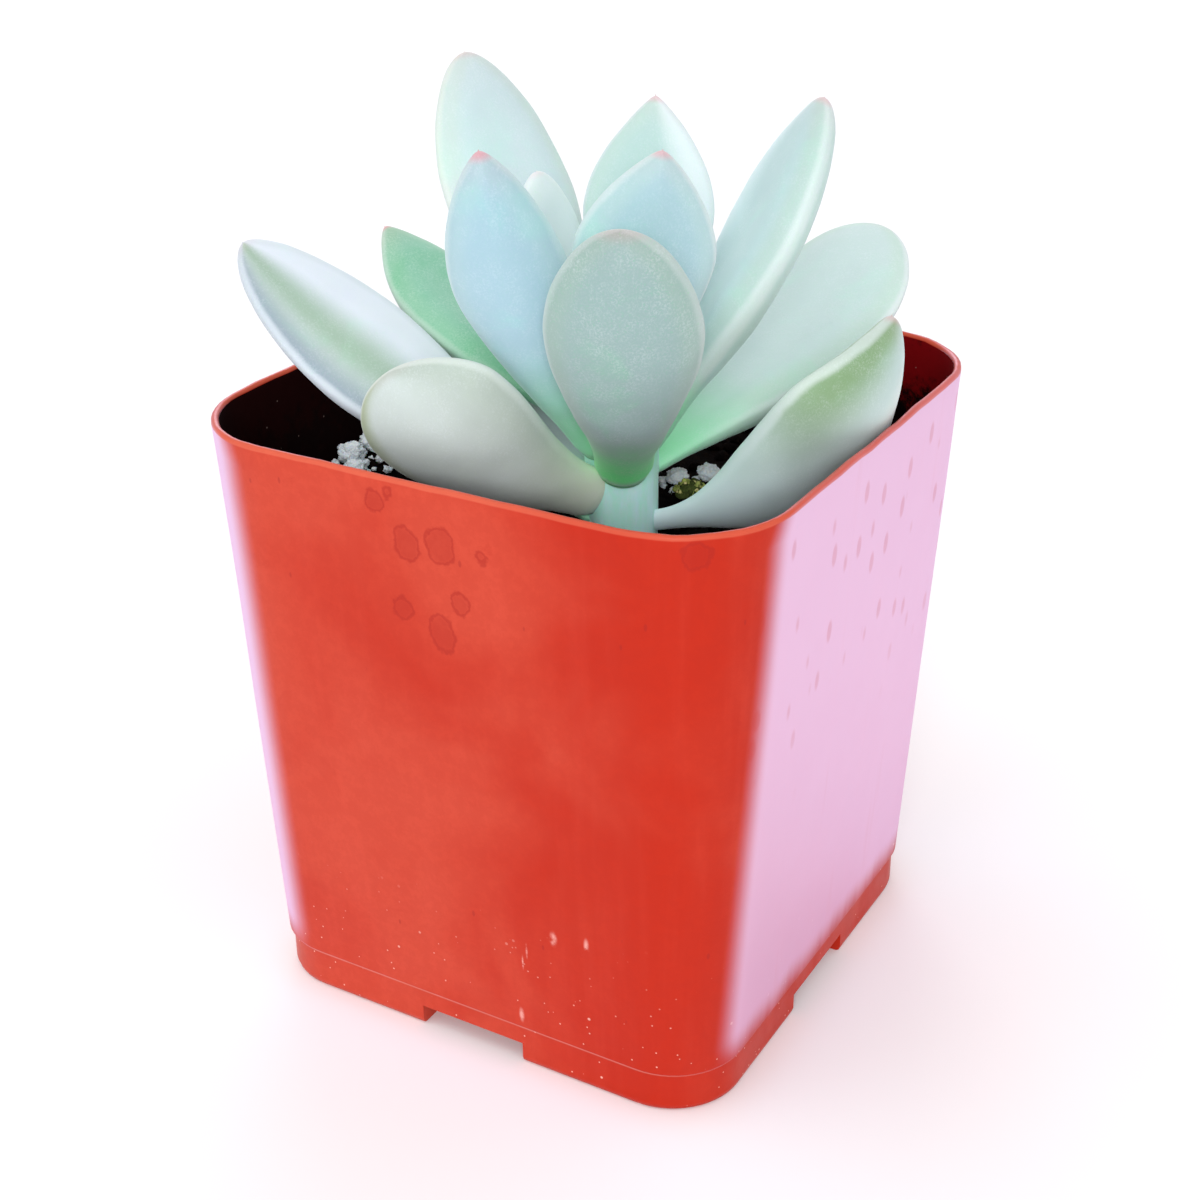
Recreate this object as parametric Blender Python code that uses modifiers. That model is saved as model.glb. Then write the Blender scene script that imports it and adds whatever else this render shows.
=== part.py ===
"""A small rosette succulent in a square plastic nursery pot.

Metres, +Z up. The origin is the centre of the pot's base, on the surface it stands on, and the
pot's four faces are square to X and Y. The wide front face looks along -Y.
"""

from math import cos, pi, radians, sin, sqrt

import bmesh
import bpy
import numpy as np
from mathutils import Matrix, Vector

# Pot: a thin moulding, tapered, with rounded corners that open out towards the rim.
RIM_WIDTH = 0.057
POT_HEIGHT = 0.060
TAPER = 0.003
RIM_CORNER = 0.0108
BASE_CORNER = 0.0072
WALL = 0.0007
FLOOR = 0.0009

# Feet: below a fine seam the skirt is a little smaller, and two channels cross under the floor.
SEAM_HEIGHT = 0.0045
SKIRT_INSET = 0.0003
SKIRT_EDGE = 0.0006
CHANNEL_WIDTH = 0.0115
CHANNEL_HEIGHT = 0.0022
DRAIN_RADIUS = 0.0022
DRAIN_INSET = 0.0100

# What fills the pot.
RIM_TO_SOIL = 0.011
CLEARANCE = 0.0003

# The plant is grown to fill its pot, so all of its sizes are in units: one unit is a millimetre
# in a pot 57 mm wide. The leaves spread along the stem, so their heights are given for a stem
# that stands HEIGHTS_SPAN above the soil.
UNIT = RIM_WIDTH / 57
STEM_X = 7
STEM_Y = -8
STEM_RADIUS = 3.3
STEM_ABOVE_SOIL = 16.0
STEM_BURIED = 12.0
STEM_DOME = 2.5
HEIGHTS_SPAN = 16.0
LEAF_GAP = 0.3

# Every size below follows from the ones above.
BASE_HALF = RIM_WIDTH / 2 - TAPER
SKIRT_HALF = BASE_HALF - SKIRT_INSET
SOIL_TOP = POT_HEIGHT - RIM_TO_SOIL
RIDGE_TOP = CHANNEL_HEIGHT + FLOOR
RIDGE_WIDTH = CHANNEL_WIDTH + 2 * WALL
STEM_PLACE = (STEM_X * UNIT, STEM_Y * UNIT)
LEAF_SEAT = STEM_RADIUS + LEAF_GAP

# Mesh fineness.
CORNER_STEPS = 8
EDGE_STEPS = 3
HOLE_SEGMENTS = 16
LEAF_SEGMENTS = 14
LEAF_RINGS = 16
STEM_SEGMENTS = 24
DOME_STEPS = 4
MIDRIB_STEPS = 40

# A leaf's habit, shared by all of them. Shares of its length: where the base has rounded off,
# where it has swollen to its full thickness, and where it starts to thin towards the end.
# UPPER_SHARE is the thickness above the midrib, as the outer face is the fuller one. The powers
# shape the pointed end, the thinning and how square the edge is.
BASE_ROUND = 0.06
SWOLLEN_AT = 0.4
THINS_FROM = 0.45
NECK_THICKNESS = 0.12
UPPER_SHARE = 0.38
POINT_POWER = 1.7
THINNING_POWER = 2.4
EDGE_POWER = 0.15

# Grains: how lumpy, and how flat the perlite and the moss lie.
LUMP = 0.12
LUMPS_X = 5
LUMPS_Y = 4
PERLITE_FLATNESS = 0.75
MOSS_FLATNESS = 0.5

# Leaves. heading: degrees from +X about +Z. height: where it leaves the stem, above the soil.
# rise: slope at the base and at the tip. size: reach from the stem's axis along the midrib,
# width and thickness. point: 0 is a round end, 1 a pointed one. widest: where along the leaf.
# neck: the base's share of the width. seat: how far from the axis it starts, if not on the side.
# twist: how far the blade is turned about its midrib at the base, and how much more by the tip.
# sway: how far the midrib turns sideways by the tip.
# Heights and sizes are in units.
LEAVES = {
    "leaf_front": dict(heading=302, height=8.5, rise=(50, 78), size=(30.6, 13, 6),
                       point=0.1, widest=0.64, neck=0.4, sway=-10),
    "leaf_front_left": dict(heading=239, height=5, rise=(25, 50), size=(25.9, 15, 5.2),
                            point=0, widest=0.74, neck=0.38, twist=(60, 0), sway=-20),
    "leaf_left": dict(heading=200, height=2.9, rise=(30, 44), size=(41.6, 15.5, 5.2),
                      point=0.3, neck=0.25, twist=(-12, -2)),
    "leaf_left_back": dict(heading=162, height=9.9, rise=(14, 28), size=(36.6, 11.5, 4.5),
                           point=0.8),
    "leaf_back_left": dict(heading=157, height=11.5, rise=(48, 62), size=(38.1, 13.5, 5.5),
                           point=0.35),
    "leaf_inner_left": dict(heading=249, height=10.6, rise=(55, 80), size=(32.6, 10, 5),
                            point=0.6, neck=0.4, twist=(20, 40)),
    "leaf_small_left": dict(heading=185, height=13.5, rise=(72, 82), size=(23.1, 11.5, 4),
                            point=0.4),
    "leaf_inner_back": dict(heading=104, height=12.5, rise=(66, 80), size=(29.6, 12, 4.5),
                            point=0.8),
    "leaf_inner_front": dict(heading=308, height=14, rise=(78, 80), size=(26.6, 12, 4.5),
                             point=0.7, twist=(0, -65), sway=65),
    "leaf_right": dict(heading=59, height=10, rise=(55, 62), size=(35.6, 13, 5.5),
                       point=0.3, twist=(-12, 0)),
    "leaf_right_back": dict(heading=71, height=6.6, rise=(14, 43), size=(37.6, 16, 5.5),
                            point=0, widest=0.72, neck=0.25),
    "leaf_right_front": dict(heading=14, height=2, rise=(14, 65), size=(32.4, 16.5, 5.5),
                             point=0.7, neck=0.15, twist=(-62, -8), sway=60),
    "leaf_back": dict(heading=125, height=7.4, rise=(20, 40), size=(29.6, 12.5, 5),
                      point=0.4),
    "leaf_back_right": dict(heading=102, height=4.3, rise=(4, 18), size=(21.6, 9, 4.2),
                            point=0.3),
    "leaf_back_low": dict(heading=147, height=3.9, rise=(8, 24), size=(30.6, 11.5, 5),
                          point=0.3),
    "leaf_inner_right": dict(heading=24, height=13.2, rise=(80, 86), size=(16.1, 5.5, 2.4),
                             point=0.7),
    "bud_outer": dict(heading=270, height=16.3, rise=(80, 88), size=(10.9, 4.4, 1.8),
                      point=0.7, neck=0.5, seat=0.9),
    "bud_inner": dict(heading=60, height=16.3, rise=(80, 88), size=(9.4, 3.4, 1.6),
                      point=0.7, neck=0.5, seat=0.9),
}

# Loose grains on the soil: where, how high above it and how wide. All are in units.
PERLITE = [
    (-24.4, -2.6, 0, 3.2),
    (-24.6, -6.4, 0, 2.8),
    (-22.0, -9.6, 0, 2.4),
    (-19.4, -13.0, 0, 1.6),
    (-21.8, -5.6, 1.4, 2.4),
    (6.2, 4.2, 0, 2.2),
    (8.4, 6.6, 0, 2.2),
    (-4.0, -21.5, 0, 2.0),
]
MOSS_PLACE = (9.1, 1.4)
MOSS_WIDTH = 3.8

COLOURS = {
    "pot_plastic": ((0.72, 0.065, 0.035, 1), 0.38),
    "potting_mix": ((0.012, 0.008, 0.007, 1), 0.95),
    "stem_skin": ((0.38, 0.66, 0.55, 1), 0.6),
    "leaf_skin": ((0.50, 0.72, 0.62, 1), 0.55),
    "perlite": ((0.85, 0.85, 0.83, 1), 0.9),
    "moss": ((0.16, 0.15, 0.04, 1), 0.95),
}


def clear_scene():
    for old in list(bpy.data.objects):
        bpy.data.objects.remove(old, do_unlink=True)


def new_collection(name):
    collection = bpy.data.collections.new(name)
    bpy.context.scene.collection.children.link(collection)
    return collection


def new_material(name):
    colour, roughness = COLOURS[name]
    material = bpy.data.materials.new(name)
    material.use_nodes = True
    shader = material.node_tree.nodes["Principled BSDF"]
    shader.inputs["Base Color"].default_value = colour
    shader.inputs["Roughness"].default_value = roughness
    shader.inputs["Metallic"].default_value = 0.0
    return material


def add_object(name, bm, collection, material=None, place=(0, 0, 0)):
    """One object from a bmesh, with its faces pointing out."""
    bmesh.ops.recalc_face_normals(bm, faces=bm.faces)
    mesh = bpy.data.meshes.new(name)
    bm.to_mesh(mesh)
    bm.free()
    made = bpy.data.objects.new(name, mesh)
    made.location = place
    collection.objects.link(made)
    if material:
        mesh.materials.append(material)
    return made


def add_cutter(name, bm, collection):
    cutter = add_object(name, bm, collection)
    cutter.hide_render = True
    cutter.display_type = "WIRE"
    return cutter


def cut(target, cutter):
    modifier = target.modifiers.new(cutter.name, "BOOLEAN")
    modifier.operation = "DIFFERENCE"
    modifier.solver = "EXACT"
    modifier.object = cutter


def box(width, depth, low, high):
    """A block centred on the Z axis, from low to high."""
    bm = bmesh.new()
    bmesh.ops.create_cube(bm, size=1)
    bmesh.ops.scale(bm, vec=(width, depth, high - low), verts=bm.verts)
    bmesh.ops.translate(bm, vec=(0, 0, (low + high) / 2), verts=bm.verts)
    return bm


def rounded_square(half, corner, z):
    """A level ring of points round a square with rounded corners, anticlockwise from above."""
    reach = half - corner
    ring = []
    for quarter, (side_x, side_y) in enumerate([(1, 1), (-1, 1), (-1, -1), (1, -1)]):
        for step in range(CORNER_STEPS + 1):
            angle = (quarter + step / CORNER_STEPS) * pi / 2
            x = side_x * reach + corner * cos(angle)
            y = side_y * reach + corner * sin(angle)
            ring.append(Vector((x, y, z)))
    return ring


def loft(rings):
    """A closed solid through rings that have the same number of points."""
    bm = bmesh.new()
    levels = [[bm.verts.new(point) for point in ring] for ring in rings]
    count = len(rings[0])
    for lower, upper in zip(levels, levels[1:]):
        for i in range(count):
            j = (i + 1) % count
            bm.faces.new((lower[i], lower[j], upper[j], upper[i]))
    bm.faces.new(reversed(levels[0]))
    bm.faces.new(levels[-1])
    return bm


def wall_at(z):
    """The pot's outer half width and corner radius at a height above the seam."""
    share = (z - SEAM_HEIGHT) / (POT_HEIGHT - SEAM_HEIGHT)
    half = BASE_HALF + TAPER * share
    corner = BASE_CORNER + (RIM_CORNER - BASE_CORNER) * share
    return half, corner


def inside_rings(floor, top, gap):
    """The pot's hollow from floor to top, smaller all round by a gap."""
    inset = WALL + gap
    corner = BASE_CORNER - inset
    top_half, top_corner = wall_at(top)
    return [
        rounded_square(SKIRT_HALF - inset, corner, floor),
        rounded_square(SKIRT_HALF - inset, corner, SEAM_HEIGHT),
        rounded_square(top_half - inset, top_corner - inset, top),
    ]


def make_pot(parts, cutters, material):
    rim_half, rim_corner = wall_at(POT_HEIGHT)
    edge = []
    for step in range(EDGE_STEPS + 1):
        angle = step / EDGE_STEPS * pi / 2
        inset = SKIRT_EDGE * (1 - sin(angle))
        height = SKIRT_EDGE * (1 - cos(angle))
        edge.append(rounded_square(SKIRT_HALF - inset, BASE_CORNER - inset, height))
    outside = loft([
        *edge,
        rounded_square(SKIRT_HALF, BASE_CORNER, SEAM_HEIGHT - SKIRT_INSET),
        rounded_square(BASE_HALF, BASE_CORNER, SEAM_HEIGHT),
        rounded_square(rim_half, rim_corner, POT_HEIGHT),
    ])
    pot = add_object("pot", outside, parts, material)

    # The hollow runs past the rim at the wall's own slope, and leaves the crossed ridge standing.
    hollow = add_cutter("hollow", loft(inside_rings(FLOOR, 1.1 * POT_HEIGHT, 0)), cutters)
    for name, width, depth in (
        ("ridge_x", RIM_WIDTH, RIDGE_WIDTH),
        ("ridge_y", RIDGE_WIDTH, RIM_WIDTH),
    ):
        cut(hollow, add_cutter(name, box(width, depth, -FLOOR, RIDGE_TOP), cutters))
    cut(pot, hollow)

    for name, width, depth in (
        ("channel_x", 2 * RIM_WIDTH, CHANNEL_WIDTH),
        ("channel_y", CHANNEL_WIDTH, 2 * RIM_WIDTH),
    ):
        cut(pot, add_cutter(name, box(width, depth, -FLOOR, CHANNEL_HEIGHT), cutters))

    holes = bmesh.new()
    reach = SKIRT_HALF - DRAIN_INSET
    for side_x in (-1, 1):
        for side_y in (-1, 1):
            bmesh.ops.create_cone(
                holes, cap_ends=True, segments=HOLE_SEGMENTS, depth=4 * FLOOR,
                radius1=DRAIN_RADIUS, radius2=DRAIN_RADIUS,
                matrix=Matrix.Translation((side_x * reach, side_y * reach, 0)),
            )
    cut(pot, add_cutter("drain_holes", holes, cutters))


def make_soil(parts, cutters, material):
    """It fills the pot to below the rim, round the ridge in the floor and the buried stem."""
    rings = inside_rings(FLOOR + CLEARANCE, SOIL_TOP, CLEARANCE)
    soil = add_object("soil", loft(rings), parts, material)
    width = RIDGE_WIDTH + 2 * CLEARANCE
    top = RIDGE_TOP + CLEARANCE
    for name, across, along in (
        ("soil_over_ridge_x", RIM_WIDTH, width),
        ("soil_over_ridge_y", width, RIM_WIDTH),
    ):
        cut(soil, add_cutter(name, box(across, along, 0, top), cutters))

    socket = bmesh.new()
    depth = STEM_BURIED * UNIT + CLEARANCE
    radius = STEM_RADIUS * UNIT + CLEARANCE
    bmesh.ops.create_cone(
        socket, cap_ends=True, segments=STEM_SEGMENTS, depth=2 * depth,
        radius1=radius, radius2=radius,
        matrix=Matrix.Translation((*STEM_PLACE, SOIL_TOP)),
    )
    cut(soil, add_cutter("stem_socket", socket, cutters))


def make_stem(parts, material):
    """A turned column with a domed top. The profile runs down its outer side."""
    shoulder = STEM_ABOVE_SOIL - STEM_DOME
    dome = []
    for step in range(DOME_STEPS + 1):
        angle = step / DOME_STEPS * pi / 2
        dome.append((STEM_RADIUS * sin(angle), shoulder + STEM_DOME * cos(angle)))
    profile = [*dome, (STEM_RADIUS, -STEM_BURIED), (0, -STEM_BURIED)]
    bm = bmesh.new()
    points = [bm.verts.new((radius * UNIT, 0, z * UNIT)) for radius, z in profile]
    for start, end in zip(points, points[1:]):
        bm.edges.new((start, end))
    stem = add_object("stem", bm, parts, material, (*STEM_PLACE, SOIL_TOP))
    screw = stem.modifiers.new("turn", "SCREW")
    screw.steps = STEM_SEGMENTS
    screw.render_steps = STEM_SEGMENTS
    screw.use_merge_vertices = True
    screw.merge_threshold = 0.0001
    screw.use_smooth_shade = True


def ease(share):
    share = min(max(share, 0), 1)
    return share * share * (3 - 2 * share)


def leaf_section(leaf, t):
    """Half the width, and the whole thickness, at a share t of the leaf's length."""
    _, width, thickness = leaf["size"]
    neck = leaf.get("neck", 0.3)
    widest = leaf.get("widest", 0.62)
    root = sqrt(1 - (1 - min(t / BASE_ROUND, 1)) ** 2)
    if t < widest:
        width_share = neck + (1 - neck) * ease(t / widest)
    else:
        left = (t - widest) / (1 - widest)
        round_end = sqrt(max(0, 1 - left ** 2))
        sharp_end = 1 - left ** POINT_POWER
        width_share = round_end + leaf["point"] * (sharp_end - round_end)
    base = neck + NECK_THICKNESS
    swelling = base + (1 - base) * ease(t / SWOLLEN_AT)
    thinning = sqrt(max(0, 1 - max(0, (t - THINS_FROM) / (1 - THINS_FROM)) ** THINNING_POWER))
    return width / 2 * width_share * root, thickness * swelling * thinning * root


def midrib(leaf):
    """Points along the leaf's middle, and the sideways and upward directions of its blade."""
    t = np.linspace(0, 1, MIDRIB_STEPS + 1)
    base_rise, tip_rise = leaf["rise"]
    rise = np.radians(base_rise + (tip_rise - base_rise) * t)
    heading = np.radians(leaf["heading"] + leaf.get("sway", 0) * t)
    level = np.cos(rise)
    along = np.stack([level * np.cos(heading), level * np.sin(heading), np.sin(rise)], 1)
    seat = leaf.get("seat", LEAF_SEAT) * UNIT
    length = leaf["size"][0] * UNIT - seat
    steps = (along[1:] + along[:-1]) / 2 * length / MIDRIB_STEPS

    height = leaf["height"] * STEM_ABOVE_SOIL / HEIGHTS_SPAN * UNIT
    start = radians(leaf["heading"])
    base = np.array([
        STEM_PLACE[0] + seat * cos(start),
        STEM_PLACE[1] + seat * sin(start),
        SOIL_TOP + height,
    ])
    points = np.vstack([base, base + np.cumsum(steps, axis=0)])

    flat = np.stack([-np.sin(heading), np.cos(heading), np.zeros_like(t)], 1)
    upright = np.cross(along, flat)
    base_twist, more_twist = leaf.get("twist", (0, 0))
    twist = np.radians(base_twist + more_twist * t)[:, None]
    side = np.cos(twist) * flat + np.sin(twist) * upright
    up = np.cos(twist) * upright - np.sin(twist) * flat
    return points, side, up


def make_leaf(name, leaf, parts, material):
    """A sphere drawn out along the midrib, with the fuller side below."""
    points, side, up = midrib(leaf)
    stations = np.linspace(0, 1, MIDRIB_STEPS + 1)

    def at(values, t):
        return Vector([np.interp(t, stations, values[:, axis]) for axis in range(3)])

    bm = bmesh.new()
    bmesh.ops.create_uvsphere(bm, u_segments=LEAF_SEGMENTS, v_segments=LEAF_RINGS, radius=1)
    for vert in bm.verts:
        t = min(max((vert.co.z + 1) / 2, 0), 1)
        round_part = vert.co.xy.length
        across, lift = vert.co.xy / round_part if round_part > 1e-5 else (0, 0)
        half_width, thickness = leaf_section(leaf, t)
        share = UPPER_SHARE if lift > 0 else 1 - UPPER_SHARE
        offset = thickness * share * lift * abs(lift) ** EDGE_POWER
        vert.co = (
            at(points, t)
            + at(side, t) * (half_width * across * UNIT)
            + at(up, t) * (offset * UNIT)
        )
    base = Vector(points[0])
    bmesh.ops.translate(bm, vec=-base, verts=bm.verts)
    made = add_object(name, bm, parts, material, base)
    made.data.shade_smooth()
    return made


def make_grain(name, place, lift, width, flatness, parts, material):
    """A lumpy crumb that lies on the soil."""
    bm = bmesh.new()
    bmesh.ops.create_icosphere(bm, subdivisions=2, radius=width * UNIT / 2)
    for vert in bm.verts:
        direction = vert.co.normalized()
        lumps = sin(LUMPS_X * direction.x + place[0]) * sin(LUMPS_Y * direction.y + place[1])
        vert.co *= 1 + LUMP * lumps
        vert.co.z *= flatness
    lowest = min(vert.co.z for vert in bm.verts)
    height = SOIL_TOP + CLEARANCE + lift * UNIT - lowest
    return add_object(name, bm, parts, material, (place[0] * UNIT, place[1] * UNIT, height))


def main():
    clear_scene()
    parts = new_collection("potted_succulent")
    cutters = new_collection("cutters")
    materials = {name: new_material(name) for name in COLOURS}
    make_pot(parts, cutters, materials["pot_plastic"])
    make_soil(parts, cutters, materials["potting_mix"])
    make_stem(parts, materials["stem_skin"])
    for name, leaf in LEAVES.items():
        make_leaf(name, leaf, parts, materials["leaf_skin"])
    for number, (x, y, lift, width) in enumerate(PERLITE, 1):
        name = f"perlite_{number}"
        make_grain(name, (x, y), lift, width, PERLITE_FLATNESS, parts, materials["perlite"])
    make_grain("moss_crumb", MOSS_PLACE, 0, MOSS_WIDTH, MOSS_FLATNESS, parts, materials["moss"])


main()
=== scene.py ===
"""The looks of a potted succulent: a small rosette with a powdery bloom, in a square plastic pot.

Metres, +Z up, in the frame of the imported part. It runs as a script inside Blender 4.5.
"""

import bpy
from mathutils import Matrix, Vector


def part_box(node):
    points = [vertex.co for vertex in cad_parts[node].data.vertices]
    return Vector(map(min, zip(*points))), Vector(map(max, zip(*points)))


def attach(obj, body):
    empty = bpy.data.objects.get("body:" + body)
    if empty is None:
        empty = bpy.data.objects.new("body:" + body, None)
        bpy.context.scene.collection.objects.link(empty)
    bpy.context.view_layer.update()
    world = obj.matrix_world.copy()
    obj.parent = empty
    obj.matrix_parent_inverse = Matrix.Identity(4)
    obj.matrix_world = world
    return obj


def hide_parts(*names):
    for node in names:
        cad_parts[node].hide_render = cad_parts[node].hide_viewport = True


bl_info = {
    "name": "Potted succulent",
    "version": (1, 0, 0),
    "blender": (4, 5, 0),
    "location": "3D View > Sidebar > Succulent",
    "description": "Builds the looks of a small succulent in a square nursery pot",
    "category": "Object",
}

from math import cos, pi, radians, sin, sqrt

import bmesh
import bpy
import numpy as np
from bpy.props import FloatProperty, FloatVectorProperty, IntProperty, PointerProperty
from mathutils import Matrix, Vector, noise

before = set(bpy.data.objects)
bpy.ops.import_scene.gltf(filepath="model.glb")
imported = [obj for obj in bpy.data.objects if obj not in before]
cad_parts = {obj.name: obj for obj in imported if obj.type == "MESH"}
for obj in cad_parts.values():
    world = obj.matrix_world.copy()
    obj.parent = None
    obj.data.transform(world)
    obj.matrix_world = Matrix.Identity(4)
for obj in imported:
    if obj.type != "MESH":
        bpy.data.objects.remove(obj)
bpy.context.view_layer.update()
POT_LOW, POT_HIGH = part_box("pot")
SOIL_LOW, SOIL_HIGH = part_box("soil")
STEM_LOW, STEM_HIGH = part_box("stem")

MM = 0.001
# The plant is grown to fill its pot: one unit is a millimetre in a pot 57 mm wide.
UNIT = (POT_HIGH.x - POT_LOW.x) / 57
SOIL_TOP = SOIL_HIGH.z
STEM_PLACE = ((STEM_LOW.x + STEM_HIGH.x) / 2, (STEM_LOW.y + STEM_HIGH.y) / 2)
STEM_RADIUS = (STEM_HIGH.x - STEM_LOW.x) / 2
LEAF_GAP = 0.3 * UNIT
MIDRIB_STEPS = 40
UPPER_SHARE = 0.38  # the part of a leaf's thickness above its midrib
NECK_THICKNESS = 0.12

# The pot's lesser measures.
POT_FLOOR = 0.9 * MM
SKIRT_STEP = 0.3 * MM  # how far the foot stands back under the seam
FOOT_EDGE = 0.6 * MM
WALL_LEVELS = 26
LIP_STEPS = 8
DRAIN_RADIUS = 2.2 * MM
DRAIN_INSET = 10.3 * MM
SOIL_RINGS = 70
SOIL_STEPS = (12, 26)  # points round each corner and along each side

# Leaves. Heights and sizes are in units, angles in degrees.
# heading: which way it grows, from +X about +Z. height: where it leaves the stem, above the
# soil. rise: its slope at the base and at the tip. size: reach from the stem's axis along the
# midrib, width and thickness. point: 0 is a round end, 1 a pointed one. widest: where along the
# leaf. neck: the base's share of the width. seat: how far from the axis it starts, if not on
# the stem's side. twist: how far the blade is turned about its midrib at the base, and how much
# more by the tip. sway: how far the midrib turns sideways by the tip. look: its row in LOOKS.
LEAVES = {
    "leaf_front": dict(
        heading=302, height=8.5, rise=(50, 78), size=(30.6, 13, 6), point=0.1, widest=0.64,
        neck=0.4, sway=-10, look="front"),
    "leaf_front_left": dict(
        heading=239, height=5, rise=(25, 50), size=(25.9, 15, 5.2), point=0, widest=0.74,
        neck=0.38, twist=(60, 0), sway=-20, look="cream"),
    "leaf_left": dict(
        heading=200, height=2.9, rise=(30, 44), size=(41.6, 15.5, 5.2), point=0.3,
        neck=0.25, twist=(-12, -2), look="lavender"),
    "leaf_left_back": dict(
        heading=162, height=9.9, rise=(14, 28), size=(36.6, 11.5, 4.5), point=0.8,
        look="green"),
    "leaf_back_left": dict(
        heading=157, height=11.5, rise=(48, 62), size=(38.1, 13.5, 5.5), point=0.35,
        look="pale"),
    "leaf_inner_left": dict(
        heading=249, height=10.6, rise=(55, 80), size=(32.6, 10, 5), point=0.6, neck=0.4,
        twist=(20, 40), look="blue"),
    "leaf_small_left": dict(
        heading=185, height=13.5, rise=(72, 82), size=(23.1, 11.5, 4), point=0.4,
        look="small"),
    "leaf_inner_back": dict(
        heading=104, height=12.5, rise=(66, 80), size=(29.6, 12, 4.5), point=0.8,
        look="back"),
    "leaf_inner_front": dict(
        heading=308, height=14, rise=(78, 80), size=(26.6, 12, 4.5), point=0.7,
        twist=(0, -65), sway=65, look="teal"),
    "leaf_right": dict(
        heading=59, height=10, rise=(55, 62), size=(35.6, 13, 5.5), point=0.3,
        twist=(-12, 0), look="mint"),
    "leaf_right_back": dict(
        heading=71, height=6.6, rise=(14, 43), size=(37.6, 16, 5.5), point=0, widest=0.72,
        neck=0.25, look="grey"),
    "leaf_right_front": dict(
        heading=14, height=2, rise=(14, 65), size=(32.4, 16.5, 5.5), point=0.7, neck=0.15,
        twist=(-62, -8), sway=60, look="front_side"),
    "leaf_back": dict(
        heading=125, height=7.4, rise=(20, 40), size=(29.6, 12.5, 5), point=0.4,
        look="grey"),
    "leaf_back_right": dict(
        heading=102, height=4.3, rise=(4, 18), size=(21.6, 9, 4.2), point=0.3,
        look="green"),
    "leaf_back_low": dict(
        heading=147, height=3.9, rise=(8, 24), size=(30.6, 11.5, 5), point=0.3,
        look="lavender"),
    "leaf_inner_right": dict(
        heading=24, height=13.2, rise=(80, 86), size=(16.1, 5.5, 2.4), point=0.7,
        look="teal"),
    "bud_outer": dict(
        heading=270, height=16.3, rise=(80, 88), size=(10.9, 4.4, 1.8), point=0.7,
        neck=0.5, seat=0.9, look="teal"),
    "bud_inner": dict(
        heading=60, height=16.3, rise=(80, 88), size=(9.4, 3.4, 1.6), point=0.7, neck=0.5,
        seat=0.9, look="teal"),
}

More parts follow.
